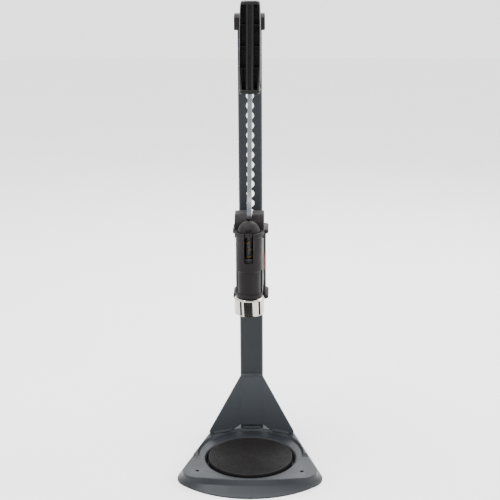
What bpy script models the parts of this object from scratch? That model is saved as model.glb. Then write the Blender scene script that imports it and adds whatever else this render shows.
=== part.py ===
"""Manual bench bottle capper: stand, sliding carriage, hand lever and crimping plunger.

Metres, +Z up. X = 0 is the symmetry plane, -Y is the side the user stands on, and Z = 0 is the bench.
The origin is the middle of the footprint, 200 mm deep.
"""
import math
from math import cos, pi, radians, sin, tan

import bmesh
import bpy
from mathutils import Matrix, Vector

MM = 0.001
GAP = 0.3 * MM                      # between pieces that touch or are joined
SHARP_ANGLE = radians(30)           # seams sharper than this stay crisp

# Planes and axes that everything else is placed from
COLUMN_FACE_Y = 66.5 * MM           # front face of the column
AXIS_Y = -14.9 * MM                 # bottle, bell and plunger axis
PITCH = 12.5 * MM                   # from one locking hole to the next

# Base pressing
BASE_FRONT_Y = -100 * MM
BASE_REAR_Y = 100 * MM
SHEET = 2.5 * MM
PLATEAU_Z = 15 * MM
LEDGE_Z = 18.2 * MM                 # raised ledge round the back, which carries column and gusset
LEDGE_END_Y = -9.5 * MM
LEDGE_CENTRE_Y = -7.5 * MM
LEDGE_RX = 66 * MM
LEDGE_RY = 70 * MM
LEDGE_END_SLOPE = 5 * MM
RIM_HEEL_Z = 8 * MM                 # foot of the rim's steep wall
SIDE_SLOPE = 0.262                  # how much the base widens per unit towards the front
FOOT_HALF_W = 62.8 * MM             # half width at the column's face, on the bench
FOOT_FRONT_R = 118 * MM
FOOT_CORNER_R = 28 * MM
PLATEAU_HALF_W = 53.8 * MM          # the same, at the top of the rim
PLATEAU_FRONT_Y = -79.1 * MM
PLATEAU_REAR_Y = 91.5 * MM
PLATEAU_FRONT_R = 343 * MM
PLATEAU_CORNER_R = 21 * MM
REAR_CORNER_R = 15 * MM
RECESS_R = 56.5 * MM
RECESS_FLOOR_Z = 5 * MM
RECESS_LIP = 4.5 * MM
BENCH_HOLE_R = 2.4 * MM
BENCH_HOLE_X = 65.3 * MM
BENCH_HOLE_Y = -55.2 * MM

# Bottle pad
PAD_R = 54 * MM
PAD_TOP_Z = 16.5 * MM

# Column: a channel, open at the back
COLUMN_W = 30 * MM
COLUMN_D = 20 * MM
COLUMN_WALL = 2.5 * MM
COLUMN_BEND_R = 3 * MM
COLUMN_FOOT_Z = LEDGE_Z + GAP
COLUMN_TOP_Z = 559 * MM
HOLE_R = 5 * MM
LOCK_Z = 304.9 * MM                 # hole that the pawl faces at rest
HOLES_BELOW = 6
HOLES_ABOVE = 18

# Column cap
CAP_HALF_W = 19 * MM
CAP_PROUD = 4 * MM
CAP_Z = 547.8 * MM
CAP_TOP_Z = 562.9 * MM
CAP_CROWN = 5.1 * MM                # the top is arched from front to back

# Gusset plate and welds
GUSSET_T = 3 * MM
GUSSET_BEND = radians(23)
GUSSET_BAND_X = 15.5 * MM
GUSSET_TOP_Z = 93 * MM
GUSSET_TIP_X = 56.3 * MM
GUSSET_TIP_Z = 22.3 * MM
GUSSET_FOOT_Z = LEDGE_Z + GAP
NOTCH_TOP_Z = 24 * MM
NOTCH_FOOT_X = 24.8 * MM
TIP_CUT_W = 1.8 * MM                # small corner cut at each wing's tip
TIP_CUT_H = 2.2 * MM
TOP_WELD = (13 * MM, 3.4 * MM, 4.3 * MM)      # half length, depth and height of the bead
FOOT_WELD = (12.5 * MM, 3.4 * MM, 3.6 * MM)
WING_WELD_X = (27 * MM, 51 * MM)
WING_WELD_LEG = 3 * MM
WELD_LUMP = 4 * MM                  # length of one lump in a bead

# Carriage: sleeve on the column, hood for the lever, barrel for the plunger
SLEEVE_HALF_W = 19.35 * MM
SLEEVE_FRONT_Y = 58.5 * MM
SLEEVE_REAR_Y = 90.5 * MM
SLEEVE_FOOT_Z = 205 * MM
SLEEVE_TOP_Z = 298 * MM
SLEEVE_CLEARANCE = 0.4 * MM
SLEEVE_CORNER_R = 2.5 * MM
COLLAR_HALF_W = 22.9 * MM
COLLAR_FRONT_Y = 54.5 * MM
COLLAR_REAR_Y = 93.5 * MM
COLLAR_T = 6 * MM
COLLAR_CORNER_R = 4 * MM
WEB_FOOT_Z = 231.8 * MM
WEB_TOP_Z = 313 * MM
WEB_FRONT_HALF_W = 16 * MM          # at the barrel's axis
WEB_REAR_HALF_W = 17.2 * MM         # at the collar's front
BARREL_FOOT_Z = 231.3 * MM
BARREL_STEP_Z = 265 * MM
BARREL_TOP_Z = 313.3 * MM
BARREL_R = 16 * MM
BARREL_FOOT_R = 16.3 * MM
BARREL_LOWER_R = 14.2 * MM
BARREL_RIM_R = 17.6 * MM
BARREL_RIM_H = 4.6 * MM
BORE_R = 13.8 * MM
BORE_FLOOR_Z = 276.5 * MM
HOLLOW_R = 11 * MM
HOLLOW_TOP_Z = 262 * MM
KEY_SLOT_HALF_W = 5.4 * MM
HOOD_HALF_W = 18 * MM
HOOD_FRONT_Y = -2.5 * MM
HOOD_REAR_Y = 32.5 * MM
HOOD_TOP_Z = 329.3 * MM
HOOD_BROW_R = 14 * MM
LEVER_SLOT_HALF_W = 3.1 * MM
LEVER_SLOT_REAR_Y = 33.5 * MM
LEVER_SLOT_FLOOR_Z = 300.9 * MM
NOSE_WELL_Z = 294.8 * MM
PIVOT = Vector((0, 9.5 * MM, 323.5 * MM))
PIN_R = 3 * MM
LABEL_Y = (18 * MM, 40 * MM)
LABEL_Z = (252.5 * MM, 271.5 * MM)

# Plunger
STROKE = 30 * MM
DOME_R = 13.5 * MM
DOME_Z = 312.9 * MM                 # centre of the dome's ball
SKIRT_Z = 311 * MM
POCKET_R = 10.6 * MM
SPRING_TOP_Z = 320 * MM
KEY_HALF_W = 4.3 * MM
KEY_Z = (309 * MM, 314 * MM)
KEY_PROUD = 2.2 * MM
NOTCH_HALF_W = 3.6 * MM
NOTCH_H = 4.3 * MM
NOTCH_DEPTH = 1.8 * MM
BUSH_FLANGE_R = 10 * MM
BUSH_NECK_R = 5.5 * MM
BUSH_Z = (268 * MM, 276.8 * MM, 280.6 * MM)
COIL_R = 9 * MM
WIRE_R = 0.8 * MM
COIL_PITCH = 9 * MM
ROD_R = 3.75 * MM
ROD_TOP_Z = 323 * MM
BELL_R = 18.3 * MM
BELL_FOOT_Z = 209.8 * MM
BELL_CEILING_Z = 221 * MM
BELL_TOP_Z = 230.9 * MM
BELL_MOUTH_R = 16 * MM
BELL_THROAT_R = 14.3 * MM
BELL_SEAT_R = 13.2 * MM
MAGNET_R = 9 * MM
MAGNET_T = 3 * MM
NUT_R = 7.5 * MM
NUT_T = 5.5 * MM

# Lever, drawn upright as it rests
LEVER_T = 5 * MM
LEVER_SWING = radians(100)
BAR_W = 22 * MM
BAR_TOP_Z = 570 * MM
BAR_SHOULDER_Z = 46 * MM            # above the pivot, where the front widens into the cam
BAR_CHEEK_Z = 33 * MM
BAR_CHEEK = 5 * MM
THROAT_TURN = (radians(42), radians(-15))
CAM_CLEARANCE = 0.35 * MM
HEEL_REACH = 12 * MM                # from the pivot back to the pawl, at rest
PAWL_TRAVEL = 7 * MM
PAWL_HALF_H = 3.6 * MM
PAWL_TIP_Y = 65.5 * MM
PAWL_TAB_T = 4 * MM
PAWL_TAB_TOP_Z = 322 * MM
GRIP_HALF_W = 12.6 * MM
GRIP_FOOT_Z = 478 * MM
GRIP_TOP_Z = 585 * MM
GRIP_FRONT_Y = -8 * MM
GRIP_BACK_Y = 24 * MM
GRIP_WALL = 1.25 * MM
GRIP_SOCKET_WALL = 1.6 * MM
GRIP_BACK_WALL = 3 * MM
GRIP_GROOVE_HALF_W = 1.9 * MM
GRIP_GROOVE_DEPTH = 5 * MM
GRIP_RIB_T = 1.2 * MM
GRIP_POCKET_TAPER = 2.4 * MM
GRIP_POCKET_FOOT = 5 * MM            # solid below and above the pockets
GRIP_POCKET_HEAD = 4 * MM
GRIP_CORNER_R = 4 * MM
GRIP_RIB_Z = (507.3 * MM, 532.3 * MM, 557.3 * MM)
GRIP_RIB_SUNK = 14 * MM
LEVER_LEAN = radians(0.6)           # the lever stands a little to its right, in its slot's play

# Colours: linear red, green, blue, then roughness and metallic
PAINTED_STEEL = ((0.075, 0.082, 0.088), 0.42, 0.35)
WELD_STEEL = ((0.09, 0.097, 0.103), 0.5, 0.4)
BLACK_PLASTIC = ((0.022, 0.022, 0.023), 0.38, 0.0)
RUBBER = ((0.03, 0.028, 0.027), 0.62, 0.0)
DARK_STEEL = ((0.035, 0.036, 0.038), 0.45, 0.3)
ZINC_STEEL = ((0.42, 0.43, 0.44), 0.34, 0.9)
CHROME = ((0.78, 0.77, 0.75), 0.08, 1.0)
SPRING_STEEL = ((0.55, 0.36, 0.12), 0.3, 1.0)
MAGNET = ((0.12, 0.12, 0.13), 0.45, 0.6)
LABEL = ((0.55, 0.03, 0.035), 0.5, 0.0)


def clear_scene():
    for old in list(bpy.data.objects):
        bpy.data.objects.remove(old, do_unlink=True)


def material(name, look):
    colour, roughness, metallic = look
    mat = bpy.data.materials.new(name)
    mat.use_nodes = True
    shader = mat.node_tree.nodes["Principled BSDF"]
    shader.inputs["Base Color"].default_value = (*colour, 1)
    shader.inputs["Roughness"].default_value = roughness
    shader.inputs["Metallic"].default_value = metallic
    return mat


def make_object(name, bm, look=None):
    """One closed solid from a bmesh, faces outward."""
    bmesh.ops.recalc_face_normals(bm, faces=bm.faces)
    mesh = bpy.data.meshes.new(name)
    bm.to_mesh(mesh)
    bm.free()
    obj = bpy.data.objects.new(name, mesh)
    bpy.context.scene.collection.objects.link(obj)
    if look:
        mesh.materials.append(material(name, look))
    return obj


def finish(obj):
    """Smooth the faces, and leave the seams sharp."""
    obj.data.shade_smooth()
    obj.data.set_sharp_from_angle(angle=SHARP_ANGLE)
    return obj


def boolean(body, tool, operation="DIFFERENCE"):
    """Cut a tool out of a body, or join it on, and drop the tool."""
    step = body.modifiers.new(operation.lower(), "BOOLEAN")
    step.operation = operation
    step.solver = "EXACT"
    step.object = tool
    bpy.context.view_layer.objects.active = body
    bpy.ops.object.modifier_apply(modifier=step.name)
    bpy.data.objects.remove(tool, do_unlink=True)


def loft(rings, name="tool", look=None):
    """Skin a stack of rings that have the same number of points, and close both ends."""
    bm = bmesh.new()
    rows = [[bm.verts.new(point) for point in ring] for ring in rings]
    for low, high in zip(rows, rows[1:]):
        count = len(low)
        for i in range(count):
            j = (i + 1) % count
            bm.faces.new((low[i], low[j], high[j], high[i]))
    bm.faces.new(rows[0])
    bm.faces.new(rows[-1])
    return make_object(name, bm, look)


def prism(outline, axis, low, high, name="tool", look=None):
    """Extrude a 2-D outline along X, Y or Z. The outline's pairs are the two other axes in order."""
    places = {"X": lambda u, v, w: (w, u, v), "Y": lambda u, v, w: (u, w, v), "Z": lambda u, v, w: (u, v, w)}
    place = places[axis]
    return loft([[place(u, v, w) for u, v in outline] for w in (low, high)], name, look)


def box(low, high, name="tool", look=None):
    outline = [(low[0], low[1]), (high[0], low[1]), (high[0], high[1]), (low[0], high[1])]
    return prism(outline, "Z", low[2], high[2], name, look)


def arc(centre, radius, start, end, steps):
    """Points on an arc in a plane, angles in radians, both ends included."""
    angles = [start + (end - start) * i / steps for i in range(steps + 1)]
    return [(centre[0] + radius * cos(a), centre[1] + radius * sin(a)) for a in angles]


def rounded_rectangle(x0, y0, x1, y1, radius, steps=4):
    corners = ((x1 - radius, y1 - radius, 0), (x0 + radius, y1 - radius, pi / 2),
               (x0 + radius, y0 + radius, pi), (x1 - radius, y0 + radius, 1.5 * pi))
    return [p for cx, cy, a in corners for p in arc((cx, cy), radius, a, a + pi / 2, steps)]


def turned(profile, segments, centre_y=AXIS_Y, name="tool", look=None, closed=True):
    """Turn a profile of (radius, z) round a vertical axis.

    A closed profile makes a ring; an open one starts and ends on the axis.
    """
    bm = bmesh.new()
    rows = []
    for radius, z in profile:
        if radius == 0:
            rows.append([bm.verts.new((0, centre_y, z))])
            continue
        angles = [2 * pi * i / segments for i in range(segments)]
        rows.append([bm.verts.new((radius * sin(a), centre_y - radius * cos(a), z)) for a in angles])
    pairs = list(zip(rows, rows[1:]))
    if closed:
        pairs.append((rows[-1], rows[0]))
    for a, b in pairs:
        for i in range(segments):
            j = (i + 1) % segments
            corners = [a[i % len(a)], a[j % len(a)], b[j % len(b)], b[i % len(b)]]
            bm.faces.new(list(dict.fromkeys(corners)))
    return make_object(name, bm, look)


def rod_along_x(centre, radius, half_length, segments, name="tool", look=None):
    outline = arc((centre[1], centre[2]), radius, 0, 2 * pi, segments)[:-1]
    return prism(outline, "X", -half_length, half_length, name, look)


# ---------------------------------------------------------------- base

def base_outline(half_w, front_y, front_r, corner_r, rear_y, inset=0.0):
    """Fan-shaped outline: sides that widen to the front, round corners, and a front in one arc."""
    normal = Vector((1, SIDE_SLOPE)).normalized()
    side = normal.dot(Vector((half_w, COLUMN_FACE_Y))) - inset
    front_r -= inset
    corner_r -= inset
    rear_r = REAR_CORNER_R - inset
    front_centre = front_y + inset + front_r
    # the front corner's centre lies at a corner radius from the side, and inside the front arc
    offset = (side - corner_r) / normal.x
    a = 1 + SIDE_SLOPE ** 2
    b = -2 * (offset * SIDE_SLOPE + front_centre)
    c = offset ** 2 + front_centre ** 2 - (front_r - corner_r) ** 2
    corner_y = (-b - math.sqrt(b * b - 4 * a * c)) / (2 * a)
    corner = Vector((offset - SIDE_SLOPE * corner_y, corner_y))
    rear_centre_y = rear_y - inset - rear_r
    rear = Vector(((side - rear_r) / normal.x - SIDE_SLOPE * rear_centre_y, rear_centre_y))
    side_angle = math.atan2(normal.y, normal.x)
    toe = math.atan2(corner.y - front_centre, corner.x)
    half = arc(rear, rear_r, pi / 2, side_angle, 5)
    half += arc(corner, corner_r, side_angle, toe, 8)
    front = arc((0, front_centre), front_r, toe, -pi / 2, 8)[1:]
    right = half + front
    left = [(-x, y) for x, y in reversed(right[:-1])]
    return right + left


def foot_outline(inset=0.0):
    return base_outline(FOOT_HALF_W, BASE_FRONT_Y, FOOT_FRONT_R, FOOT_CORNER_R, BASE_REAR_Y, inset)


def plateau_outline(inset=0.0):
    return base_outline(PLATEAU_HALF_W, PLATEAU_FRONT_Y, PLATEAU_FRONT_R, PLATEAU_CORNER_R,
                        PLATEAU_REAR_Y, inset)


def rim_ring(share, z, inset=0.0):
    """Ring on the rim: share 0 is the plateau's edge, share 1 the edge on the bench."""
    pairs = zip(plateau_outline(inset), foot_outline(inset))
    return [(p[0] + share * (f[0] - p[0]), p[1] + share * (f[1] - p[1]), z) for p, f in pairs]


def base_skin():
    rings = [rim_ring(1.0, 0), rim_ring(0.98, 1.8 * MM), rim_ring(0.25, RIM_HEEL_Z - 0.6 * MM),
             rim_ring(0.16, RIM_HEEL_Z + 0.8 * MM), rim_ring(0.02, PLATEAU_Z - 1.4 * MM),
             rim_ring(-0.03, PLATEAU_Z - 0.4 * MM), rim_ring(-0.12, PLATEAU_Z)]
    return loft(rings, "base_plate", PAINTED_STEEL)


def base_underside():
    """Hollow under the pressing, one sheet thickness inside its skin."""
    rings = [rim_ring(1.0, -5 * MM, SHEET), rim_ring(0.98, 0.4 * MM, SHEET),
             rim_ring(0.16, RIM_HEEL_Z - 1.6 * MM, SHEET), rim_ring(0.02, PLATEAU_Z - SHEET, SHEET)]
    return loft(rings)


def ledge():
    """Raised ledge round the back: the plateau's own outline, less an ellipse round the pad."""
    low = [(x, y, PLATEAU_Z - 1.5 * MM) for x, y in plateau_outline(0.4 * MM)]
    shoulder = [(x, y, LEDGE_Z - 1 * MM) for x, y in plateau_outline(1.2 * MM)]
    high = [(x, y, LEDGE_Z) for x, y in plateau_outline(2.6 * MM)]
    body = loft([low, shoulder, high])
    rings = []
    for grow, z in ((-0.5, PLATEAU_Z - 3 * MM), (0, PLATEAU_Z), (2.6, LEDGE_Z), (6, LEDGE_Z + 4 * MM)):
        rx = LEDGE_RX + grow * MM
        ry = LEDGE_RY + grow * MM
        turn = [2 * pi * i / 48 for i in range(48)]
        rings.append([(rx * cos(a), LEDGE_CENTRE_Y + ry * sin(a), z) for a in turn])
    boolean(body, loft(rings))
    over = 5 * MM
    slope_foot_y = LEDGE_END_Y - LEDGE_END_SLOPE
    front = [(BASE_FRONT_Y - over, PLATEAU_Z - over), (slope_foot_y, PLATEAU_Z - over),
             (slope_foot_y, PLATEAU_Z), (LEDGE_END_Y, LEDGE_Z), (LEDGE_END_Y, LEDGE_Z + over),
             (BASE_FRONT_Y - over, LEDGE_Z + over)]
    boolean(body, prism(front, "X", -2 * FOOT_HALF_W, 2 * FOOT_HALF_W))
    return body


def base_plate():
    body = base_skin()
    boolean(body, base_underside())
    boolean(body, ledge(), "UNION")
    dish_r = RECESS_R + SHEET
    dish = turned([(0, RECESS_FLOOR_Z - SHEET), (dish_r - 2 * MM, RECESS_FLOOR_Z - SHEET),
                   (dish_r, RECESS_FLOOR_Z), (dish_r, PLATEAU_Z - 1 * MM), (0, PLATEAU_Z - 1 * MM)],
                  64, closed=False)
    boolean(body, dish, "UNION")
    lip = [(RECESS_R + RECESS_LIP * (1 - cos(a)), PLATEAU_Z - RECESS_LIP + RECESS_LIP * sin(a))
           for a in (0, pi / 6, pi / 3, pi / 2)]
    recess = turned([(0, RECESS_FLOOR_Z), (RECESS_R - 1.5 * MM, RECESS_FLOOR_Z),
                     (RECESS_R, RECESS_FLOOR_Z + 1.5 * MM)] + lip
                    + [(RECESS_R + RECESS_LIP, LEDGE_Z + 9 * MM), (0, LEDGE_Z + 9 * MM)], 64, closed=False)
    boolean(body, recess)
    for side in (-1, 1):
        hole = turned([(0, -1 * MM), (BENCH_HOLE_R, -1 * MM), (BENCH_HOLE_R, 30 * MM), (0, 30 * MM)],
                      16, BENCH_HOLE_Y, closed=False)
        hole.location.x = side * BENCH_HOLE_X
        boolean(body, hole)
    return finish(body)


def bottle_pad():
    low_z = RECESS_FLOOR_Z + GAP
    profile = [(0, low_z), (PAD_R - 1 * MM, low_z), (PAD_R, low_z + 1 * MM), (PAD_R, PAD_TOP_Z - 1.2 * MM),
               (PAD_R - 1.2 * MM, PAD_TOP_Z), (0, PAD_TOP_Z)]
    return finish(turned(profile, 64, name="bottle_pad", look=RUBBER, closed=False))


# ---------------------------------------------------------------- column and gusset

def column_section():
    """Channel section, open at the back, with its front edges bent to a radius."""
    hw = COLUMN_W / 2
    face = COLUMN_FACE_Y
    back = face + COLUMN_D
    outer_r = COLUMN_BEND_R
    inner_r = COLUMN_BEND_R - COLUMN_WALL
    outer = [(hw, back)] + [(hw - outer_r + outer_r * cos(a), face + outer_r + outer_r * sin(a))
                            for a in [-i * pi / 8 for i in range(5)]]
    inner = [(hw - outer_r + inner_r * cos(a), face + outer_r + inner_r * sin(a))
             for a in (-pi / 2, -pi / 4, 0)] + [(hw - COLUMN_WALL, back)]
    left_outer = [(-x, y) for x, y in reversed(outer)]
    left_inner = [(-x, y) for x, y in reversed(inner)]
    return outer + left_outer + left_inner + inner


def column():
    body = prism(column_section(), "Z", COLUMN_FOOT_Z, COLUMN_TOP_Z, "column", PAINTED_STEEL)
    for step in range(-HOLES_BELOW, HOLES_ABOVE + 1):
        centre = (0, LOCK_Z + step * PITCH)
        drill = prism(arc(centre, HOLE_R, 0, 2 * pi, 16)[:-1], "Y",
                      COLUMN_FACE_Y - 2 * MM, COLUMN_FACE_Y + 2 * COLUMN_WALL)
        boolean(body, drill)
    return finish(body)


def cap_side(inset):
    """Side view of the cap: flat foot, upright faces and a top arched from front to back."""
    front = COLUMN_FACE_Y - CAP_PROUD + inset
    back = COLUMN_FACE_Y + COLUMN_D + CAP_PROUD - inset
    steps = 8
    top = []
    for i in range(steps + 1):
        share = i / steps
        rise = CAP_CROWN * (1 - (2 * share - 1) ** 2)
        top.append((back + share * (front - back), CAP_TOP_Z - inset + rise))
    return [(front, CAP_Z), (back, CAP_Z)] + top


def column_cap():
    x = CAP_HALF_W
    edge = 0.8 * MM
    rings = [[(px, y, z) for y, z in cap_side(inset)]
             for px, inset in ((-x, edge), (-x + edge, 0), (x - edge, 0), (x, edge))]
    body = loft(rings, "column_cap", BLACK_PLASTIC)
    socket = box((-COLUMN_W / 2 - GAP, COLUMN_FACE_Y - GAP, CAP_Z - 1 * MM),
                 (COLUMN_W / 2 + GAP, COLUMN_FACE_Y + COLUMN_D + GAP, COLUMN_TOP_Z + GAP))
    boolean(body, socket)
    return finish(body)


def gusset_back_y(x):
    """Back face of the gusset: flat on the column, then bent forward in both wings."""
    return COLUMN_FACE_Y - GAP - max(0, abs(x) - GUSSET_BAND_X) * tan(GUSSET_BEND)


def gusset_top_z(x):
    fall = (GUSSET_TOP_Z - GUSSET_TIP_Z) / (GUSSET_TIP_X - GUSSET_BAND_X)
    return GUSSET_TOP_Z - max(0, abs(x) - GUSSET_BAND_X) * fall


def gusset_foot_z(x):
    reach = abs(x)
    tip_start = GUSSET_TIP_X - TIP_CUT_W
    if reach <= GUSSET_BAND_X:
        return NOTCH_TOP_Z
    if reach <= NOTCH_FOOT_X:
        share = (reach - GUSSET_BAND_X) / (NOTCH_FOOT_X - GUSSET_BAND_X)
        return NOTCH_TOP_Z + share * (GUSSET_FOOT_Z - NOTCH_TOP_Z)
    share = max(0, reach - tip_start) / (GUSSET_TIP_X - tip_start)
    return GUSSET_FOOT_Z + share * TIP_CUT_H


def gusset_plate():
    half = [GUSSET_BAND_X, NOTCH_FOOT_X, GUSSET_TIP_X - TIP_CUT_W, GUSSET_TIP_X]
    stations = [-x for x in reversed(half)] + half
    depth = GUSSET_T / cos(GUSSET_BEND)
    rings = []
    for x in stations:
        back = gusset_back_y(x)
        front = back - (GUSSET_T if abs(x) <= GUSSET_BAND_X else depth)
        low = gusset_foot_z(x)
        high = gusset_top_z(x)
        rings.append([(x, front, low), (x, back, low), (x, back, high), (x, front, high)])
    return finish(loft(rings, "gusset_plate", PAINTED_STEEL))


def bead(start, end, out, up, name):
    """Weld bead: a fillet section swept from start to end, swelling and thinning in even lumps."""
    bm = bmesh.new()
    start = Vector(start)
    end = Vector(end)
    outward = Vector(out)
    lumps = round((end - start).length / WELD_LUMP)
    section = [(0, 0), (1, 0), (0.86, 0.5), (0.5, 0.88), (0, 1)]
    rows = []
    count = lumps * 4
    for i in range(count + 1):
        share = i / count
        swell = 0.45 if i in (0, count) else 0.82 + 0.18 * cos(2 * pi * lumps * share)
        centre = start.lerp(end, share)
        rows.append([bm.verts.new(centre + outward * u * swell + Vector((0, 0, up * v * swell)))
                     for u, v in section])
    for low, high in zip(rows, rows[1:]):
        for k in range(5):
            n = (k + 1) % 5
            bm.faces.new((low[k], low[n], high[n], high[k]))
    bm.faces.new(rows[0])
    bm.faces.new(rows[-1])
    return finish(make_object(name, bm, WELD_STEEL))


def column_weld(size, foot, name):
    """Bead across the column's face, standing on foot."""
    half, depth, height = size
    y = COLUMN_FACE_Y - GAP
    z = foot + GAP
    return bead((-half, y, z), (half, y, z), (0, -depth, 0), height, name)


def wing_weld(side, name):
    """Bead in front of one wing, along the foot that stands on the ledge."""
    depth = GUSSET_T / cos(GUSSET_BEND)
    ends = [(side * x, gusset_back_y(x) - depth - GAP, LEDGE_Z + GAP) for x in WING_WELD_X]
    out = Vector((-side * sin(GUSSET_BEND), -cos(GUSSET_BEND), 0)) * WING_WELD_LEG
    return bead(ends[0], ends[1], out, WING_WELD_LEG, name)


# ---------------------------------------------------------------- carriage

def collar(foot):
    rings = []
    edge = 1.2 * MM
    for z, inset in ((foot, edge), (foot + edge, 0), (foot + COLLAR_T - edge, 0), (foot + COLLAR_T, edge)):
        outline = rounded_rectangle(-COLLAR_HALF_W + inset, COLLAR_FRONT_Y + inset,
                                    COLLAR_HALF_W - inset, COLLAR_REAR_Y - inset, COLLAR_CORNER_R)
        rings.append([(x, y, z) for x, y in outline])
    return loft(rings)


def web_half_width(y):
    slope = (WEB_REAR_HALF_W - WEB_FRONT_HALF_W) / (COLLAR_FRONT_Y - AXIS_Y)
    return WEB_FRONT_HALF_W + (y - AXIS_Y) * slope


def web():
    rear = COLUMN_FACE_Y - 0.6 * MM
    front = AXIS_Y + 1 * MM
    outline = [(-web_half_width(rear), rear), (-web_half_width(front), front),
               (web_half_width(front), front), (web_half_width(rear), rear)]
    return prism(outline, "Z", WEB_FOOT_Z, WEB_TOP_Z)


def hood():
    """Lever housing: flat front, a large round brow and a flat top."""
    foot = SLEEVE_TOP_Z + 4 * MM
    brow = arc((HOOD_FRONT_Y + HOOD_BROW_R, HOOD_TOP_Z - HOOD_BROW_R), HOOD_BROW_R, pi, pi / 2, 8)
    back = arc((HOOD_REAR_Y - 3 * MM, HOOD_TOP_Z - 3 * MM), 3 * MM, pi / 2, 0, 3)
    return prism([(HOOD_FRONT_Y, foot)] + brow + back + [(HOOD_REAR_Y, foot)], "X", -HOOD_HALF_W, HOOD_HALF_W)


def barrel():
    foot = BARREL_FOOT_Z
    profile = [(0, foot), (BARREL_FOOT_R - 0.8 * MM, foot), (BARREL_FOOT_R, foot + 0.8 * MM),
               (BARREL_FOOT_R, foot + 4 * MM), (BARREL_LOWER_R, foot + 5 * MM),
               (BARREL_LOWER_R, BARREL_STEP_Z - 1 * MM), (BARREL_R, BARREL_STEP_Z + 1 * MM),
               (BARREL_R, BARREL_TOP_Z - BARREL_RIM_H - 1.4 * MM),
               (BARREL_RIM_R, BARREL_TOP_Z - BARREL_RIM_H),
               (BARREL_RIM_R, BARREL_TOP_Z - 0.6 * MM), (BARREL_RIM_R - 0.6 * MM, BARREL_TOP_Z),
               (0, BARREL_TOP_Z)]
    return turned(profile, 40, closed=False)


def barrel_bore():
    """Open hollow at the foot, hole for the bush, and the bore that the cap runs in."""
    low = BARREL_FOOT_Z - 5 * MM
    high = BARREL_TOP_Z + 9 * MM
    neck_z = BUSH_Z[0] - GAP
    profile = [(0, low), (HOLLOW_R, low), (HOLLOW_R, HOLLOW_TOP_Z), (ROD_R + GAP, HOLLOW_TOP_Z),
               (ROD_R + GAP, neck_z), (BUSH_NECK_R + GAP, neck_z), (BUSH_NECK_R + GAP, BORE_FLOOR_Z),
               (BORE_R, BORE_FLOOR_Z), (BORE_R, BARREL_TOP_Z - 0.8 * MM), (BORE_R + 0.8 * MM, BARREL_TOP_Z),
               (BORE_R + 0.8 * MM, high), (0, high)]
    return turned(profile, 40, closed=False)


def lever_well():
    """Slot that the lever's head and nose turn in, open at the top and into the bore."""
    high = HOOD_TOP_Z + 5 * MM
    outline = [(AXIS_Y, NOSE_WELL_Z), (0, NOSE_WELL_Z), (PIVOT.y, LEVER_SLOT_FLOOR_Z - 1 * MM),
               (LEVER_SLOT_REAR_Y, LEVER_SLOT_FLOOR_Z - 1 * MM), (LEVER_SLOT_REAR_Y, high), (AXIS_Y, high)]
    return prism(outline, "X", -LEVER_SLOT_HALF_W, LEVER_SLOT_HALF_W)


def carriage_body():
    sleeve = rounded_rectangle(-SLEEVE_HALF_W, SLEEVE_FRONT_Y, SLEEVE_HALF_W, SLEEVE_REAR_Y, SLEEVE_CORNER_R)
    inset = 0.5 * MM
    body = prism(sleeve, "Z", SLEEVE_FOOT_Z + inset, SLEEVE_TOP_Z - inset, "carriage_body", BLACK_PLASTIC)
    for addition in (collar(SLEEVE_FOOT_Z), collar(SLEEVE_TOP_Z - COLLAR_T), web(), hood(), barrel()):
        boolean(body, addition, "UNION")
    c = SLEEVE_CLEARANCE
    column_x = COLUMN_W / 2 + c
    boolean(body, box((-column_x, COLUMN_FACE_Y - c, SLEEVE_FOOT_Z - 5 * MM),
                      (column_x, COLUMN_FACE_Y + COLUMN_D + c, SLEEVE_TOP_Z + 60 * MM)))
    boolean(body, barrel_bore())
    boolean(body, box((-KEY_SLOT_HALF_W, AXIS_Y - 30 * MM, BORE_FLOOR_Z + GAP),
                      (KEY_SLOT_HALF_W, AXIS_Y - 5 * MM, BARREL_TOP_Z + 5 * MM)))
    boolean(body, lever_well())
    boolean(body, rod_along_x(PIVOT, PIN_R + GAP, 30 * MM, 20))
    channel_x = LEVER_T / 2 + GAP
    channel_h = PAWL_HALF_H + 0.4 * MM
    boolean(body, box((-channel_x, LEVER_SLOT_REAR_Y - 3 * MM, LOCK_Z - channel_h),
                      (channel_x, COLUMN_FACE_Y + 2 * MM, LOCK_Z + channel_h)))
    return finish(body)


def side_label():
    """Blank sticker on the web's right side, a hair clear of it."""
    thickness = 0.4 * MM
    near, far = LABEL_Y
    outline = [(web_half_width(y) + GAP + lift, y)
               for y, lift in ((near, 0), (far, 0), (far, thickness), (near, thickness))]
    return prism(outline, "Z", LABEL_Z[0], LABEL_Z[1], "side_label", LABEL)


def pivot_pin():
    return finish(rod_along_x(PIVOT, PIN_R, HOOD_HALF_W - 0.4 * MM, 20, "pivot_pin", ZINC_STEEL))


def rod_bush():
    """Flanged bush in the barrel's floor: guides the rod and seats the spring."""
    neck, seat, top = BUSH_Z
    bore = ROD_R + GAP
    ring = [(bore, neck), (BUSH_NECK_R, neck), (BUSH_NECK_R, seat), (BUSH_FLANGE_R, seat),
            (BUSH_FLANGE_R, top - 0.5 * MM), (BUSH_FLANGE_R - 0.5 * MM, top), (bore, top)]
    return finish(turned(ring, 32, name="rod_bush", look=DARK_STEEL))


# ---------------------------------------------------------------- plunger

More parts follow.
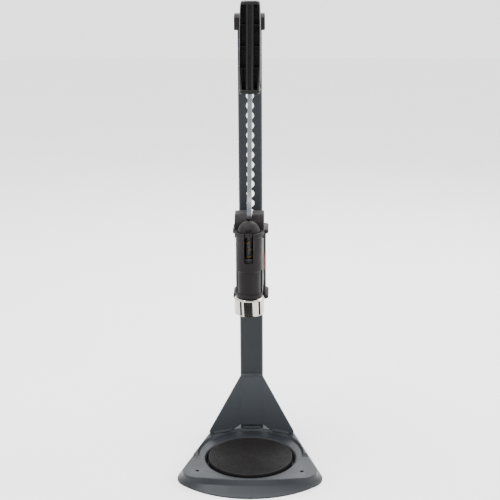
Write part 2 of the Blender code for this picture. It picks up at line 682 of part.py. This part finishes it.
def plunger_cap():
    """Domed head with a pocket for the spring, a key in the barrel's slot and a notch above it."""
    ball = [(DOME_R * cos(a), DOME_Z + DOME_R * sin(a)) for a in [i * pi / 18 for i in range(9)]]
    body = turned([(0, SKIRT_Z), (DOME_R, SKIRT_Z)] + ball + [(0, DOME_Z + DOME_R)], 40,
                  name="plunger_cap", look=BLACK_PLASTIC, closed=False)
    front = AXIS_Y - DOME_R
    low, high = KEY_Z
    key = box((-KEY_HALF_W, front - KEY_PROUD, low), (KEY_HALF_W, front + 2 * MM, high))
    boolean(body, key, "UNION")
    notch = box((-NOTCH_HALF_W, front - 5 * MM, high),
                (NOTCH_HALF_W, front + NOTCH_DEPTH, high + NOTCH_H))
    boolean(body, notch)
    rod_r = ROD_R + GAP
    pocket = turned([(0, SKIRT_Z - 5 * MM), (POCKET_R, SKIRT_Z - 5 * MM), (POCKET_R, SPRING_TOP_Z - 1 * MM),
                     (POCKET_R - 0.6 * MM, SPRING_TOP_Z), (rod_r, SPRING_TOP_Z), (rod_r, ROD_TOP_Z + GAP),
                     (0, ROD_TOP_Z + GAP)], 32, closed=False)
    boolean(body, pocket)
    return finish(body)


def plunger_rod():
    foot = BELL_CEILING_Z
    profile = [(0, foot), (ROD_R - 0.4 * MM, foot), (ROD_R, foot + 0.4 * MM), (ROD_R, ROD_TOP_Z - 0.6 * MM),
               (ROD_R - 0.6 * MM, ROD_TOP_Z), (0, ROD_TOP_Z)]
    return finish(turned(profile, 24, name="plunger_rod", look=DARK_STEEL, closed=False))


def return_spring():
    """Coil spring from the bush up into the cap's pocket, its end turns nearly flat."""
    low = BUSH_Z[2] + GAP + WIRE_R
    high = SPRING_TOP_Z - GAP - WIRE_R
    end_turn = 0.75
    end_rise = 1.7 * MM
    open_turns = (high - low - 2 * end_rise) / COIL_PITCH
    turns = open_turns + 2 * end_turn
    steps = round(turns * 16)
    sides = 6
    bm = bmesh.new()
    rows = []
    for i in range(steps + 1):
        turn = turns * i / steps
        z = low + end_rise * min(turn, end_turn) / end_turn
        z += COIL_PITCH * min(max(turn - end_turn, 0), open_turns)
        z += end_rise * max(turn - end_turn - open_turns, 0) / end_turn
        out = Vector((cos(2 * pi * turn), sin(2 * pi * turn), 0))
        centre = Vector((0, AXIS_Y, z)) + out * COIL_R
        turns_of_ring = [2 * pi * k / sides for k in range(sides)]
        ring = [WIRE_R * (out * cos(b) + Vector((0, 0, sin(b)))) for b in turns_of_ring]
        rows.append([bm.verts.new(centre + point) for point in ring])
    for first, second in zip(rows, rows[1:]):
        for k in range(sides):
            n = (k + 1) % sides
            bm.faces.new((first[k], first[n], second[n], second[k]))
    bm.faces.new(rows[0])
    bm.faces.new(rows[-1])
    return finish(make_object("return_spring", bm, SPRING_STEEL))


def capping_bell():
    """Turned bell: a tapered mouth that folds the crown cap's skirt."""
    bore = ROD_R + GAP
    foot = BELL_FOOT_Z
    top = BELL_TOP_Z
    profile = [(bore, top), (BELL_R - 2.4 * MM, top), (BELL_R - 0.4 * MM, top - 1.2 * MM),
               (BELL_R, top - 2.4 * MM), (BELL_R, foot + 1 * MM), (BELL_R - 0.6 * MM, foot),
               (BELL_MOUTH_R, foot), (BELL_THROAT_R, foot + 4 * MM), (BELL_SEAT_R, BELL_CEILING_Z),
               (bore, BELL_CEILING_Z)]
    return finish(turned(profile, 48, name="capping_bell", look=CHROME))


def bell_magnet():
    high = BELL_CEILING_Z - GAP
    low = high - MAGNET_T
    profile = [(0, low), (MAGNET_R - 0.5 * MM, low), (MAGNET_R, low + 0.5 * MM), (MAGNET_R, high), (0, high)]
    return finish(turned(profile, 32, name="bell_magnet", look=MAGNET, closed=False))


def bell_lock_nut():
    low = BELL_TOP_Z + GAP
    hexagon = [(x, AXIS_Y + y) for x, y in arc((0, 0), NUT_R, 0, 2 * pi, 6)[:-1]]
    body = prism(hexagon, "Z", low, low + NUT_T, "bell_lock_nut", ZINC_STEEL)
    bore = ROD_R + GAP
    boolean(body, turned([(0, low - 1 * MM), (bore, low - 1 * MM), (bore, low + NUT_T + 1 * MM),
                          (0, low + NUT_T + 1 * MM)], 24, closed=False))
    return finish(body)


# ---------------------------------------------------------------- lever and pawl

def cam_point(angle):
    """Cam point, relative to the pivot, that bears on the dome when the lever has turned by angle.

    The plunger goes down in step with the lever, so the common normal always passes through one
    point level with the pivot, at the distance that the plunger moves per radian.
    """
    rate = STROKE / LEVER_SWING
    centre = Vector((AXIS_Y - PIVOT.y, DOME_Z - PIVOT.z - rate * angle))
    towards = (Vector((-rate, 0)) - centre).normalized()
    contact = centre + towards * (DOME_R + CAM_CLEARANCE)
    return (contact.x * cos(angle) + contact.y * sin(angle), -contact.x * sin(angle) + contact.y * cos(angle))


def heel_point(angle):
    """Heel point, relative to the pivot, that bears on the pawl's flat face at a lever angle."""
    rate = PAWL_TRAVEL / LEVER_SWING
    reach = HEEL_REACH + rate * angle
    return (reach * cos(angle) - rate * sin(angle), -reach * sin(angle) - rate * cos(angle))


def lever_outline():
    """Side view of the lever about its pivot: bar, cam nose in front, heel below and behind."""
    cam = [cam_point(LEVER_SWING * i / 14) for i in range(15)]
    heel = [heel_point(LEVER_SWING * i / 10) for i in range(11)]
    top = BAR_TOP_Z - PIVOT.z
    half = BAR_W / 2
    shoulder = [(-half, BAR_SHOULDER_Z), (-half - BAR_CHEEK, BAR_CHEEK_Z)]
    bar = [(half, HEEL_REACH), (half, top), (-half, top)] + shoulder
    # below the cam the throat keeps clear of the dome as it stands at rest
    dome = (AXIS_Y - PIVOT.y, DOME_Z - PIVOT.z)
    throat = arc(dome, DOME_R + 2 * CAM_CLEARANCE, *THROAT_TURN, 4)
    return bar + list(reversed(cam)) + throat + list(reversed(heel)) + [(HEEL_REACH, 0)]


def lever_bar():
    outline = [(PIVOT.y + y, PIVOT.z + z) for y, z in lever_outline()]
    body = prism(outline, "X", -LEVER_T / 2, LEVER_T / 2, "lever_bar", ZINC_STEEL)
    boolean(body, rod_along_x(PIVOT, PIN_R + GAP, 20 * MM, 20))
    return finish(body)


def grip_shell():
    """Outer shape of the grip: a bar with a rolled foot and a rounded top."""
    rings = []
    foot = GRIP_FOOT_Z
    top = GRIP_TOP_Z
    half = GRIP_HALF_W
    for z, inset in ((foot, 1.2), (foot + 1.2 * MM, 0.2), (foot + 3.6 * MM, 0.2),
                     (foot + 4.6 * MM, 0.8), (foot + 14 * MM, 0), (top - 45 * MM, 0), (top - 8 * MM, 0.7),
                     (top - 3.5 * MM, 1.1), (top - 1 * MM, 1.7), (top, 2.8)):
        d = inset * MM
        outline = rounded_rectangle(-half + d, GRIP_FRONT_Y + d, half - d, GRIP_BACK_Y - d, GRIP_CORNER_R, 3)
        rings.append([(x, y, z) for x, y in outline])
    return loft(rings, "lever_grip", BLACK_PLASTIC)


def lever_grip():
    """Grip pushed on the bar: open pockets at the front, either side of the bar's ribbed socket."""
    body = grip_shell()
    slot = LEVER_T / 2 + GAP
    boolean(body, box((-slot, PIVOT.y - BAR_W / 2 - GAP, GRIP_FOOT_Z - 5 * MM),
                      (slot, PIVOT.y + BAR_W / 2 + GAP, BAR_TOP_Z + GAP)))
    inner = slot + GRIP_SOCKET_WALL
    outer = GRIP_HALF_W - GRIP_WALL
    floor = GRIP_BACK_Y - GRIP_BACK_WALL
    low = GRIP_FOOT_Z + GRIP_POCKET_FOOT
    high = GRIP_TOP_Z - GRIP_POCKET_HEAD
    open_y = GRIP_FRONT_Y - 5 * MM
    boolean(body, box((-GRIP_GROOVE_HALF_W, open_y, low),
                      (GRIP_GROOVE_HALF_W, GRIP_FRONT_Y + GRIP_GROOVE_DEPTH, high)))
    edges = [z for centre in GRIP_RIB_Z for z in (centre - GRIP_RIB_T / 2, centre + GRIP_RIB_T / 2)]
    levels = [low] + edges + [high]
    rib_front = GRIP_FRONT_Y + GRIP_RIB_SUNK
    head = outer - 1 * MM
    inset = 0.2 * MM
    for side in (-1, 1):
        pocket = [(side * inner, low), (side * (outer - GRIP_POCKET_TAPER), low), (side * outer, edges[0]),
                  (side * outer, edges[-1]), (side * head, high), (side * inner, high)]
        boolean(body, prism(pocket, "Y", open_y, rib_front))
        for z0, z1 in zip(levels[::2], levels[1::2]):
            reach = {low: outer - GRIP_POCKET_TAPER, edges[-1]: head}.get(z0, outer)
            x0, x1 = sorted((side * (inner + inset), side * (reach - inset)))
            boolean(body, box((x0, rib_front - 1 * MM, z0), (x1, floor, z1)))
    return finish(body)


def latch_pawl():
    """L-shaped steel plate that slides back from the lever's heel into a hole of the column."""
    front = PIVOT.y + HEEL_REACH + GAP
    low = LOCK_Z - PAWL_HALF_H
    high = LOCK_Z + PAWL_HALF_H
    lead = 1 * MM
    outline = [(front, low), (PAWL_TIP_Y - lead, low), (PAWL_TIP_Y, low + lead), (PAWL_TIP_Y, high - lead),
               (PAWL_TIP_Y - lead, high), (front + PAWL_TAB_T, high), (front + PAWL_TAB_T, PAWL_TAB_TOP_Z),
               (front, PAWL_TAB_TOP_Z)]
    return prism(outline, "X", -LEVER_T / 2, LEVER_T / 2, "latch_pawl", ZINC_STEEL)


def lean_sideways():
    """Shear that moves a point sideways in step with its height above the origin."""
    shear = Matrix.Identity(4)
    shear[0][2] = tan(LEVER_LEAN)
    return shear


def put_origin(obj, point):
    """Move an object's origin onto its joint's axis and leave its shape where it is."""
    obj.data.transform(Matrix.Translation(-Vector(point)))
    obj.location = point


def build():
    clear_scene()
    for piece in (base_plate, bottle_pad, column, column_cap, gusset_plate):
        piece()
    column_weld(TOP_WELD, GUSSET_TOP_Z, "gusset_top_weld")
    column_weld(FOOT_WELD, LEDGE_Z, "column_foot_weld")
    wing_weld(-1, "wing_weld_left")
    wing_weld(1, "wing_weld_right")
    for piece in (carriage_body, side_label, pivot_pin, rod_bush):
        piece()
    for piece in (lever_bar, lever_grip):
        lever_part = piece()
        put_origin(lever_part, PIVOT)
        lever_part.data.transform(lean_sideways())
    axis_foot = (0, AXIS_Y, BELL_FOOT_Z)
    for piece in (plunger_cap, plunger_rod, return_spring, capping_bell, bell_magnet, bell_lock_nut):
        put_origin(piece(), axis_foot)
    put_origin(latch_pawl(), (0, COLUMN_FACE_Y, LOCK_Z))


build()
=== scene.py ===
from math import cos, pi, radians, sin, tan

import bmesh
import bpy
from mathutils import Matrix, Vector


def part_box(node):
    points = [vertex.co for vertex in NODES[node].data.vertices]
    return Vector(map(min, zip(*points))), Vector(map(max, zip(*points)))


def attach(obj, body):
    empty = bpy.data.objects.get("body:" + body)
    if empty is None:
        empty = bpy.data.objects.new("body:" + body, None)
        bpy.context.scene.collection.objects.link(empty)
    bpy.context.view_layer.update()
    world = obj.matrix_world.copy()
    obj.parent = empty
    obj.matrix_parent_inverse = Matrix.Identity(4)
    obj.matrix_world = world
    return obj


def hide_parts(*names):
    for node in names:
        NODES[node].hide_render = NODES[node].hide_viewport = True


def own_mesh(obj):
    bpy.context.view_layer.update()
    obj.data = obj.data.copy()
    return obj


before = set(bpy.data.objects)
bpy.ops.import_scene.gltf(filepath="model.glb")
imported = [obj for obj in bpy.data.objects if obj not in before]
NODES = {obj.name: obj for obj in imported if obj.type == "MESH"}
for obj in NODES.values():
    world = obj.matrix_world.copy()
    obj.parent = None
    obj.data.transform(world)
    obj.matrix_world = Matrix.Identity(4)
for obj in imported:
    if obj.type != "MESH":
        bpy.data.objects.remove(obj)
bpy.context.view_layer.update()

MM = 0.001
GAP = 0.3 * MM                      # between pieces that touch or are joined
AXIS_Y = -14.9 * MM                 # axis of pad, bell and spring

# Edges of the pieces carried over, angles in degrees
MERGE_DISTANCE = 0.01 * MM
BEVEL_FROM = 38
SPLIT_BEVELLED = 40
SPLIT_PLAIN = 32
SPLIT_ANGLE = {"base_plate": 30, "gusset_plate": 15, "capping_bell": 12}

# Bottle pad
PAD_R = 54 * MM
PAD_FOOT_Z = 5.3 * MM
PAD_TOP_Z = 16.5 * MM
PAD_HUB_R = 0.5 * MM                # innermost ring, closed with a flat disc
PAD_SIDES = 112
GROOVE_PITCH = 2.4 * MM
GROOVE_DEPTH = 0.5 * MM
GROOVE_END_R = 4 * MM               # no grooves nearer to the axis

# Welds
COLUMN_FACE_Y = 66.5 * MM
LEDGE_Z = 18.2 * MM
GUSSET_TOP_Z = 93 * MM
GUSSET_T = 3 * MM
GUSSET_BEND = radians(23)
GUSSET_BAND_X = 15.5 * MM           # half width of the gusset's flat middle
COLUMN_BEAD_DEPTH = 3.4 * MM
COLUMN_BEADS = (("top_bead", 13 * MM, GUSSET_TOP_Z, 4.3 * MM, 9, "gusset_top_weld"),
                ("foot_bead", 12.5 * MM, LEDGE_Z, 3.6 * MM, 8, "column_foot_weld"))
WING_BEAD_X = (27 * MM, 51 * MM)
WING_BEAD_LEG = 3 * MM
WING_BEAD_LUMPS = 8

# Return spring
WIRE_R = 0.8 * MM
COIL_R = 9 * MM
COIL_PITCH = 9 * MM
COIL_STEPS = 44                     # to one turn
WIRE_SIDES = 14
END_TURN = 0.75                     # turns at each end that lie nearly flat
END_RISE = 1.7 * MM

# Camera, angles in radians
CAMERA_AT = (0.0363, -1.2618, 0.6281)
CAMERA_PITCH = 0.26473
CAMERA_YAW = 0.02813
CAMERA_ROLL = -0.006555
CAMERA_SENSOR = 36
CAMERA_LENS = 76.43

# Studio, in metres and watts, flag angles in degrees
FLOOR_HALF = 6.0
WORLD_STRENGTH = 2.3
FLAG_REACH = 0.6
FLAG_TOP_Z = 0.21
FLAG_STEPS = 6
FLAG_SPANS = (("left", -76, -58), ("middle", -42, 27), ("right", 76, 96))
LAMPS = (("key", (-0.5, -0.15, 1.8), (0, 0, 0.2), (1.2, 1.0), 34),
         ("fill", (1.4, 0.25, 0.9), (0, 0, 0.25), (0.9, 1.2), 12),
         ("back", (0.3, 1.2, 1.3), (0, 0, 0.3), (1.2, 0.8), 20))


# ---------------------------------------------------------------- materials

class Graph:
    """Short names for building one material's node tree."""

    def __init__(self, name):
        self.mat = bpy.data.materials.new(name)
        self.mat.use_nodes = True
        self.nodes = self.mat.node_tree.nodes
        self.links = self.mat.node_tree.links
        self.shader = self.nodes["Principled BSDF"]
        self.coords = self.nodes.new("ShaderNodeTexCoord").outputs["Object"]

    def mapping(self, scale):
        node = self.nodes.new("ShaderNodeMapping")
        node.inputs["Scale"].default_value = scale
        self.links.new(self.coords, node.inputs["Vector"])
        return node.outputs["Vector"]

    def noise(self, scale, detail=4.0, stretch=None, rough=0.55):
        node = self.nodes.new("ShaderNodeTexNoise")
        node.inputs["Scale"].default_value = scale
        node.inputs["Detail"].default_value = detail
        node.inputs["Roughness"].default_value = rough
        self.links.new(self.mapping(stretch) if stretch else self.coords, node.inputs["Vector"])
        return node.outputs["Fac"]

    def ramp(self, source, low, high, a, b):
        node = self.nodes.new("ShaderNodeValToRGB")
        node.color_ramp.elements[0].position = low
        node.color_ramp.elements[1].position = high
        node.color_ramp.elements[0].color = (*a, 1) if isinstance(a, tuple) else (a, a, a, 1)
        node.color_ramp.elements[1].color = (*b, 1) if isinstance(b, tuple) else (b, b, b, 1)
        self.links.new(source, node.inputs["Fac"])
        return node.outputs["Color"]

    def mix(self, factor, a, b):
        node = self.nodes.new("ShaderNodeMix")
        node.data_type = "RGBA"
        self.links.new(factor, node.inputs["Factor"])
        for socket, value in ((node.inputs[6], a), (node.inputs[7], b)):
            if isinstance(value, tuple):
                socket.default_value = (*value, 1)
            else:
                self.links.new(value, socket)
        return node.outputs[2]

    def bump(self, heights):
        last = None
        for source, strength, distance in heights:
            node = self.nodes.new("ShaderNodeBump")
            node.inputs["Strength"].default_value = strength
            node.inputs["Distance"].default_value = distance
            self.links.new(source, node.inputs["Height"])
            if last:
                self.links.new(last, node.inputs["Normal"])
            last = node.outputs["Normal"]
        self.links.new(last, self.shader.inputs["Normal"])

    def worn_edges(self, low, high):
        pointiness = self.nodes.new("ShaderNodeNewGeometry").outputs["Pointiness"]
        return self.ramp(pointiness, low, high, 0.0, 1.0)


def tint(colour, factor):
    """A lighter or darker version of a colour."""
    return tuple(min(1.0, c * factor) for c in colour)


def painted(name, colour, rough=0.42):
    """Semi-gloss paint over sheet steel: orange peel, faint mottling, edges rubbed lighter."""
    g = Graph(name)
    mottle = g.ramp(g.noise(18, 5), 0.3, 0.75, tint(colour, 0.9), tint(colour, 1.12))
    specks = g.ramp(g.noise(900, 2), 0.68, 0.78, 0.0, 1.0)
    speckled = g.mix(specks, mottle, tint(colour, 1.5))
    g.links.new(g.mix(g.worn_edges(0.53, 0.6), speckled, tint(colour, 1.9)), g.shader.inputs["Base Color"])
    g.links.new(g.ramp(g.noise(60, 4), 0.2, 0.8, rough - 0.05, rough + 0.08), g.shader.inputs["Roughness"])
    g.shader.inputs["Specular IOR Level"].default_value = 0.19
    g.bump([(g.noise(520, 2), 0.12, 0.0003), (g.noise(28, 3), 0.06, 0.001)])
    return g.mat


def moulded(name, colour, rough=0.4, grain=1100):
    """Moulded plastic: fine grain, slight flow marks, edges polished by handling."""
    g = Graph(name)
    flow = g.ramp(g.noise(25, 4, (1, 1, 0.4)), 0.3, 0.75, tint(colour, 0.85), tint(colour, 1.2))
    g.links.new(g.mix(g.worn_edges(0.53, 0.62), flow, tint(colour, 2.0)), g.shader.inputs["Base Color"])
    g.links.new(g.ramp(g.noise(70, 4), 0.25, 0.8, rough - 0.06, rough + 0.1), g.shader.inputs["Roughness"])
    g.shader.inputs["Specular IOR Level"].default_value = 0.13
    g.bump([(g.noise(grain, 2), 0.18, 0.0002), (g.noise(40, 2), 0.05, 0.0008)])
    return g.mat


def plated(name, colour, rough, stretch, dark=0.78, metallic=1.0, relief=0.08):
    """Metal with a drawn or turned grain along the stretched direction, a little cloudy."""
    g = Graph(name)
    grain = g.noise(300, 3, stretch)
    spread = min(0.1, rough)
    cloudy = g.ramp(g.noise(35, 5), 0.3, 0.72, tint(colour, dark), colour)
    streaked = g.mix(g.ramp(grain, 0.4, 0.75, 0.0, 0.35), cloudy, tint(colour, 0.7))
    g.links.new(streaked, g.shader.inputs["Base Color"])
    polish = g.ramp(grain, 0.25, 0.8, max(0.03, rough - 0.05), rough + spread)
    g.links.new(polish, g.shader.inputs["Roughness"])
    g.shader.inputs["Metallic"].default_value = metallic
    g.bump([(grain, relief, 0.0002)])
    return g.mat


PAINT = painted("dark grey paint", (0.0155, 0.0176, 0.0205))
WELD = painted("painted weld", (0.022, 0.025, 0.028), 0.46)
PLASTIC = moulded("black plastic", (0.0085, 0.0074, 0.0074), 0.54)
GRIP = moulded("grip plastic", (0.0062, 0.006, 0.006), 0.36)
PAD = moulded("pad rubber", (0.003, 0.0025, 0.0024), 0.62, 700)
DARK = plated("blackened steel", (0.085, 0.088, 0.094), 0.5, (1, 1, 6), 0.8, 0.3)
# The rod's blackened steel made darker: painted shade on the bush down in its slot.
SHADED_BUSH_STEEL = plated("blackened bush, painted shade", (0.03, 0.031, 0.033), 0.5, (1, 1, 6), 0.8, 0.3)
RED = moulded("blank label", (0.11, 0.006, 0.009), 0.5, 500)
ZINC = plated("zinc plate", (0.165, 0.175, 0.19), 0.4, (6, 6, 0.25), metallic=0.8)
CHROME = plated("chrome", (0.48, 0.455, 0.425), 0.04, (0.4, 0.4, 8), 0.93, 1.0, 0.015)
WIRE = plated("spring wire", (0.12, 0.078, 0.032), 0.4, (1, 1, 3))
FERRITE = moulded("ferrite", (0.05, 0.05, 0.055), 0.5, 900)

FINISH = {
    "base_plate": (PAINT, "painted_steel", 0.0), "column": (PAINT, "painted_steel", 0.25),
    "gusset_plate": (PAINT, "painted_steel", 0.0), "column_cap": (PLASTIC, "black_plastic", 0.5),
    "carriage_body": (PLASTIC, "black_plastic", 0.4), "side_label": (RED, "label_red", 0.0),
    # rod_bush takes the darker copy of the rod's steel: painted shade in its slot.
    "pivot_pin": (ZINC, "zinc_steel", 0.4), "rod_bush": (SHADED_BUSH_STEEL, "dark_steel", 0.0),
    "lever_bar": (ZINC, "zinc_steel", 0.3), "lever_grip": (GRIP, "black_plastic", 0.35),
    "plunger_cap": (PLASTIC, "black_plastic", 0.3), "plunger_rod": (DARK, "dark_steel", 0.0),
    "capping_bell": (CHROME, "bell_chrome", 0.0), "bell_magnet": (FERRITE, "magnet", 0.0),
    "bell_lock_nut": (ZINC, "zinc_steel", 0.4), "latch_pawl": (ZINC, "zinc_steel", 0.3),
}


def dress(node, mat, edge):
    """Give a CAD node its finish, break its sharp edges with a small round and keep its flats flat."""
    obj = NODES[node]
    obj.data.materials.clear()
    obj.data.materials.append(mat)
    obj.data.shade_smooth()
    weld = obj.modifiers.new("weld", "WELD")
    weld.merge_threshold = MERGE_DISTANCE
    if edge:
        bevel = obj.modifiers.new("edge", "BEVEL")
        bevel.width = edge * MM
        bevel.segments = 2
        bevel.limit_method = "ANGLE"
        bevel.angle_limit = radians(BEVEL_FROM)
    split = obj.modifiers.new("split", "EDGE_SPLIT")
    split.split_angle = radians(SPLIT_ANGLE.get(node, SPLIT_BEVELLED if edge else SPLIT_PLAIN))
    weighted = obj.modifiers.new("weighted", "WEIGHTED_NORMAL")
    weighted.weight = 100


# ---------------------------------------------------------------- pieces made here

def piece(name, bm, mat, body, nodes):
    """Make a visible piece that rides a body and stands in for CAD nodes."""
    bmesh.ops.recalc_face_normals(bm, faces=bm.faces)
    mesh = bpy.data.meshes.new(name)
    bm.to_mesh(mesh)
    bm.free()
    mesh.materials.append(mat)
    mesh.shade_smooth()
    mesh.set_sharp_from_angle(angle=radians(40))
    obj = bpy.data.objects.new(name, mesh)
    bpy.context.scene.collection.objects.link(obj)
    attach(obj, body)
    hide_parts(*nodes)
    return obj


def skin(rings, bm):
    """Skin a stack of rings that have the same number of points, and close both ends."""
    rows = [[bm.verts.new(p) for p in ring] for ring in rings]
    for low, high in zip(rows, rows[1:]):
        for i in range(len(low)):
            j = (i + 1) % len(low)
            bm.faces.new((low[i], low[j], high[j], high[i]))
    bm.faces.new(rows[0])
    bm.faces.new(rows[-1])


def grooved_pad():
    """Pad with fine concentric grooves pressed in its top."""
    profile = [(PAD_HUB_R, PAD_FOOT_Z), (PAD_R - 1 * MM, PAD_FOOT_Z), (PAD_R, PAD_FOOT_Z + 1 * MM),
               (PAD_R, PAD_TOP_Z - 1.1 * MM), (PAD_R - 0.4 * MM, PAD_TOP_Z - 0.4 * MM),
               (PAD_R - 1.2 * MM, PAD_TOP_Z)]
    floor = PAD_TOP_Z - GROOVE_DEPTH
    radius = PAD_R - GROOVE_PITCH
    while radius > GROOVE_END_R:
        profile += [(radius, PAD_TOP_Z), (radius - 0.4 * MM, floor), (radius - 0.9 * MM, floor),
                    (radius - 1.3 * MM, PAD_TOP_Z)]
        radius -= GROOVE_PITCH
    profile.append((PAD_HUB_R, PAD_TOP_Z))
    turn = [2 * pi * i / PAD_SIDES for i in range(PAD_SIDES)]
    bm = bmesh.new()
    skin([[(r * sin(a), AXIS_Y - r * cos(a), z) for a in turn] for r, z in profile], bm)
    return piece("ribbed_pad", bm, PAD, "stand", ["bottle_pad"])


def bead(name, start, end, out, up, lumps, node):
    """Hand-laid weld: overlapping ripples that bulge towards the end of each stroke."""
    start = Vector(start)
    end = Vector(end)
    out = Vector(out)
    steps = 7
    quarter = [pi / 2 * k / steps for k in range(steps + 1)]
    section = [(0, 0)] + [(cos(a) ** 0.8 if cos(a) > 0 else 0, sin(a)) for a in quarter]
    rings = []
    count = lumps * 8
    for i in range(count + 1):
        share = i / count
        stroke = (share * lumps) % 1
        swell = (0.8 + 0.2 * stroke ** 1.6) * (0.97 + 0.03 * sin(17 * share + lumps))
        swell *= min(1, 0.5 + 6 * min(share, 1 - share))
        centre = start.lerp(end, share)
        rings.append([centre + out * u * swell + Vector((0, 0, up * v * swell)) for u, v in section])
    bm = bmesh.new()
    skin(rings, bm)
    return piece(name, bm, WELD, "stand", [node])


def welds():
    y = COLUMN_FACE_Y - GAP
    for name, half, foot, height, lumps, node in COLUMN_BEADS:
        z = foot + GAP
        bead(name, (-half, y, z), (half, y, z), (0, -COLUMN_BEAD_DEPTH, 0), height, lumps, node)
    for side, label in ((-1, "left"), (1, "right")):
        foot_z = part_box("wing_weld_" + label)[0].z
        ends = []
        for x in WING_BEAD_X:
            back = y - (x - GUSSET_BAND_X) * tan(GUSSET_BEND)
            ends.append((side * x, back - GUSSET_T / cos(GUSSET_BEND) - GAP, foot_z))
        out = Vector((-side * sin(GUSSET_BEND), -cos(GUSSET_BEND), 0)) * WING_BEAD_LEG
        bead("wing_bead_" + label, ends[0], ends[1], out, WING_BEAD_LEG, WING_BEAD_LUMPS,
             "wing_weld_" + label)


def coil():
    """Return spring: a coil of wire whose end turns lie nearly flat."""
    low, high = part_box("return_spring")
    height = high.z - low.z - 2 * WIRE_R
    middle = (height - 2 * END_RISE) / COIL_PITCH
    turns = middle + 2 * END_TURN
    count = round(turns * COIL_STEPS)
    rings = []
    for i in range(count + 1):
        t = turns * i / count
        z = low.z + WIRE_R + END_RISE * min(t, END_TURN) / END_TURN
        z += COIL_PITCH * min(max(t - END_TURN, 0), middle)
        z += END_RISE * max(t - END_TURN - middle, 0) / END_TURN
        out = Vector((cos(2 * pi * t), sin(2 * pi * t), 0))
        centre = Vector((0, AXIS_Y, z)) + out * COIL_R
        ring = [2 * pi * k / WIRE_SIDES for k in range(WIRE_SIDES)]
        rings.append([centre + (out * cos(b) + Vector((0, 0, sin(b)))) * WIRE_R for b in ring])
    bm = bmesh.new()
    skin(rings, bm)
    spring = piece("coil_spring", bm, WIRE, "carriage", ["return_spring"])
    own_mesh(spring)


# ---------------------------------------------------------------- studio

def camera():
    """Camera a little right of the middle, looking 15 degrees down."""
    pitch, yaw, roll = CAMERA_PITCH, CAMERA_YAW, CAMERA_ROLL
    forward = Vector((-sin(yaw) * cos(pitch), cos(yaw) * cos(pitch), -sin(pitch)))
    right = Vector((cos(yaw), sin(yaw), 0))
    up = right.cross(forward)
    r = right * cos(roll) + up * sin(roll)
    u = up * cos(roll) - right * sin(roll)
    data = bpy.data.cameras.new("camera")
    data.sensor_width = CAMERA_SENSOR
    data.lens = CAMERA_LENS
    data.clip_start = 0.01
    obj = bpy.data.objects.new("camera", data)
    bpy.context.scene.collection.objects.link(obj)
    turn = Matrix((r, u, -forward)).transposed().to_4x4()
    obj.matrix_world = Matrix.Translation(CAMERA_AT) @ turn
    bpy.context.scene.camera = obj


def lamp(name, place, target, size, watts):
    data = bpy.data.lights.new(name, "AREA")
    data.shape = "RECTANGLE"
    data.size, data.size_y = size
    data.energy = watts
    obj = bpy.data.objects.new(name, data)
    bpy.context.scene.collection.objects.link(obj)
    aim = (Vector(target) - Vector(place)).to_track_quat("-Z", "Y")
    obj.matrix_world = Matrix.Translation(place) @ aim.to_matrix().to_4x4()


def flags():
    """Black flags round the front, kept out of shot, which give the chrome its dark uprights."""
    g = Graph("black flag")
    g.links.new(g.ramp(g.noise(8, 2), 0.3, 0.7, 0.004, 0.008), g.shader.inputs["Base Color"])
    g.shader.inputs["Roughness"].default_value = 0.95
    for label, start, end in FLAG_SPANS:
        angles = [radians(start + (end - start) * i / FLAG_STEPS) for i in range(FLAG_STEPS + 1)]
        bm = bmesh.new()
        low, high = [[bm.verts.new((FLAG_REACH * sin(a), AXIS_Y - FLAG_REACH * cos(a), z)) for a in angles]
                     for z in (0.0, FLAG_TOP_Z)]
        for i in range(FLAG_STEPS):
            bm.faces.new((low[i], low[i + 1], high[i + 1], high[i]))
        mesh = bpy.data.meshes.new("flag_" + label)
        bm.to_mesh(mesh)
        bm.free()
        mesh.materials.append(g.mat)
        flag = bpy.data.objects.new("flag_" + label, mesh)
        bpy.context.scene.collection.objects.link(flag)
        flag.visible_camera = False
        flag.visible_diffuse = False
        flag.visible_shadow = False


def studio():
    """Pale floor, white surroundings, flags and three soft lamps."""
    bm = bmesh.new()
    side = FLOOR_HALF
    corners = ((-side, -side, 0), (side, -side, 0), (side, side, 0), (-side, side, 0))
    bm.faces.new([bm.verts.new(p) for p in corners])
    mesh = bpy.data.meshes.new("floor")
    bm.to_mesh(mesh)
    bm.free()
    g = Graph("pale floor")
    g.links.new(g.ramp(g.noise(3, 2), 0.3, 0.7, 0.93, 0.95), g.shader.inputs["Base Color"])
    g.shader.inputs["Roughness"].default_value = 0.9
    mesh.materials.append(g.mat)
    floor = bpy.data.objects.new("floor", mesh)
    bpy.context.scene.collection.objects.link(floor)
    world = bpy.data.worlds.new("studio")
    world.use_nodes = True
    world.node_tree.nodes["Background"].inputs["Color"].default_value = (1, 1, 1, 1)
    world.node_tree.nodes["Background"].inputs["Strength"].default_value = WORLD_STRENGTH
    bpy.context.scene.world = world
    flags()
    for name, place, target, size, watts in LAMPS:
        lamp(name, place, target, size, watts)


for node, (mat, slot, edge) in FINISH.items():
    dress(node, mat, edge)
grooved_pad()
welds()
coil()
camera()
studio()
